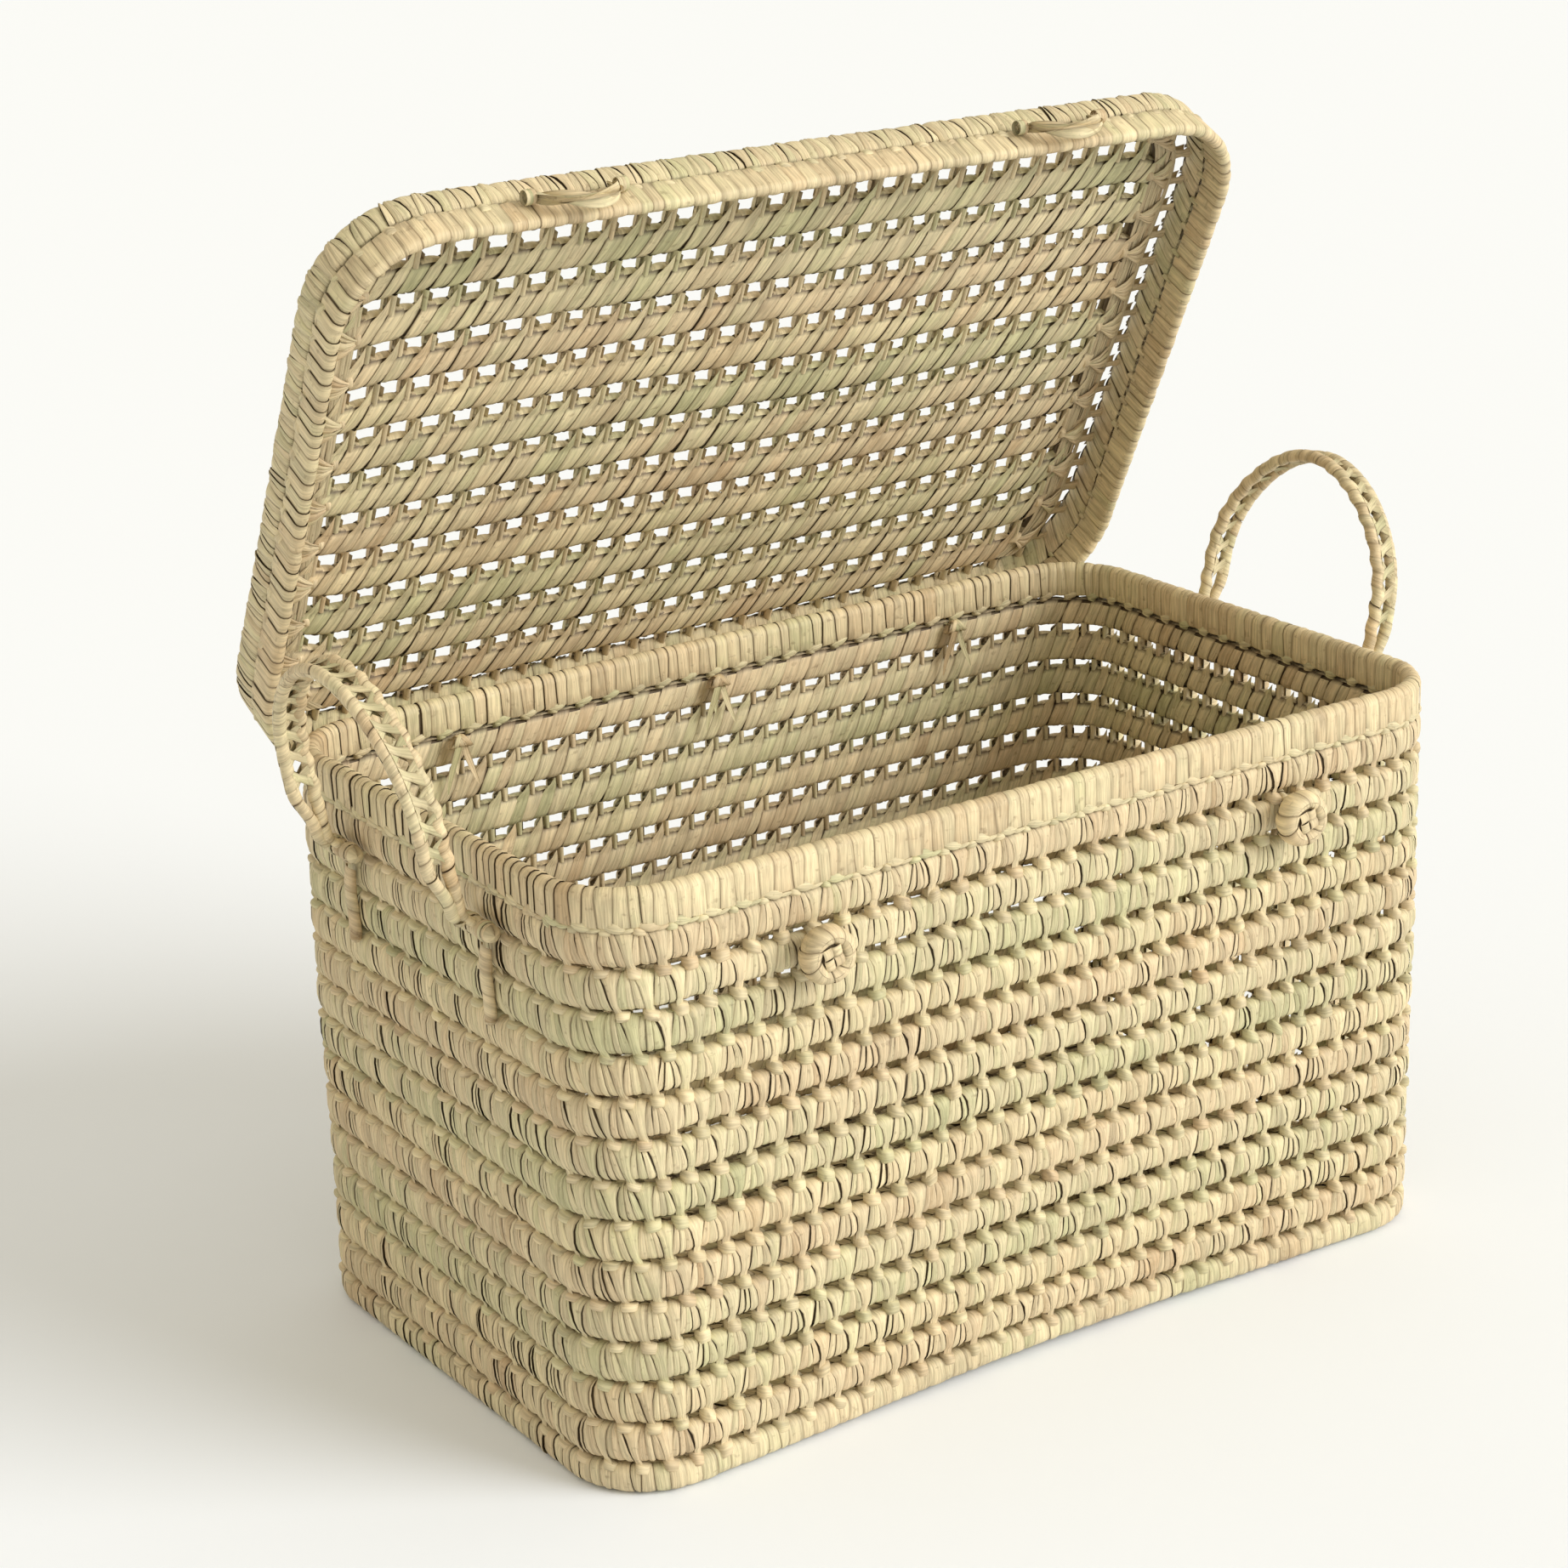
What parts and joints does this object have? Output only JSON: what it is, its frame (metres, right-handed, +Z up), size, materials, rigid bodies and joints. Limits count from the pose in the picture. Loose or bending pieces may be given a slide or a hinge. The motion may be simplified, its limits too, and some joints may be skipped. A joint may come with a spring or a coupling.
{
  "type": "storage trunk",
  "caption": "Coiled wicker storage trunk with a hinged tray lid, two ladder handles, knob buttons and closing loops.",
  "frame": {"origin": "centre of the underside, on the surface that the trunk stands on", "axes": "+X along the trunk's length to the right of its front, +Y from the front to the hinge side, +Z up"},
  "size_m": [0.7398, 0.4314, 0.692],
  "materials": {
    "straw": "matt dried palm leaf, straw coloured",
    "cream": "matt dried palm leaf, pale cream",
    "reed": "matt dried palm leaf, greenish grey",
    "blush": "matt dried palm leaf, pinkish tan"
  },
  "bodies": {
    "trunk": {"base_mat": "straw", "base_edge": "straw", "wall_course_01": "blush", "wall_course_02": "cream", "wall_course_03": "reed", "wall_course_04": "straw", "wall_course_05": "blush", "wall_course_06": "cream", "wall_course_07": "reed", "wall_course_08": "straw", "wall_course_09": "blush", "wall_course_10": "cream", "wall_course_11": "reed", "wall_course_12": "straw", "wall_course_13": "blush", "rim_band": "cream", "rim_lashing": "reed", "hinge_tie_left": "cream", "hinge_tie_middle": "cream", "hinge_tie_right": "cream", "handle_left_keepers": "straw", "handle_left_tails": "blush", "handle_right_keepers": "straw", "handle_right_tails": "blush"},
    "lid": {"lid_course_01": "cream", "lid_course_02": "reed", "lid_course_03": "straw", "lid_course_04": "blush", "lid_course_05": "cream", "lid_course_06": "reed", "lid_course_07": "straw", "lid_course_08": "blush", "lid_course_09": "cream", "lid_course_10": "reed", "lid_course_11": "straw", "lid_course_12": "blush", "lid_binding_left": "blush", "lid_binding_right": "blush", "lid_side_course": "straw", "lid_rim_band": "cream", "loop_eyes_left": "straw", "loop_eyes_right": "straw"},
    "handle_left": {"handle_left_inner_cord": "cream", "handle_left_outer_cord": "straw", "handle_left_lashing": "reed"},
    "handle_right": {"handle_right_inner_cord": "cream", "handle_right_outer_cord": "straw", "handle_right_lashing": "reed"},
    "button_left": {"button_left_shank": "straw", "button_left_knob": "cream"},
    "button_right": {"button_right_shank": "straw", "button_right_knob": "cream"},
    "loop_left": {"loop_left": "straw"},
    "loop_right": {"loop_right": "straw"}
  },
  "joints": [
    {"name": "lid_hinge", "type": "hinge", "parent": "trunk", "child": "lid", "pos_m": [0, 0.1895, 0.332], "axis": [-1, 0, 0], "range_deg": [-64, 51]},
    {"name": "handle_left_swing", "type": "hinge", "parent": "trunk", "child": "handle_left", "pos_m": [-0.318, 0, 0.318], "axis": [0, -1, 0], "range_deg": [-10, 95]},
    {"name": "handle_right_swing", "type": "hinge", "parent": "trunk", "child": "handle_right", "pos_m": [0.318, 0, 0.318], "axis": [0, 1, 0], "range_deg": [-12, 93]},
    {"name": "loop_left_swing", "type": "hinge", "parent": "lid", "child": "loop_left", "pos_m": [-0.171, 0.0293, 0.68555], "axis": [-1, 0, 0], "range_deg": [0, 120]},
    {"name": "loop_right_swing", "type": "hinge", "parent": "lid", "child": "loop_right", "pos_m": [0.171, 0.0293, 0.68555], "axis": [-1, 0, 0], "range_deg": [0, 120]},
    {"name": "button_left_tilt", "type": "hinge", "parent": "trunk", "child": "button_left", "pos_m": [-0.171, -0.177, 0.31339], "axis": [-1, 0, 0], "range_deg": [0, 12]},
    {"name": "button_right_tilt", "type": "hinge", "parent": "trunk", "child": "button_right", "pos_m": [0.171, -0.177, 0.31339], "axis": [-1, 0, 0], "range_deg": [0, 12]}
  ]
}
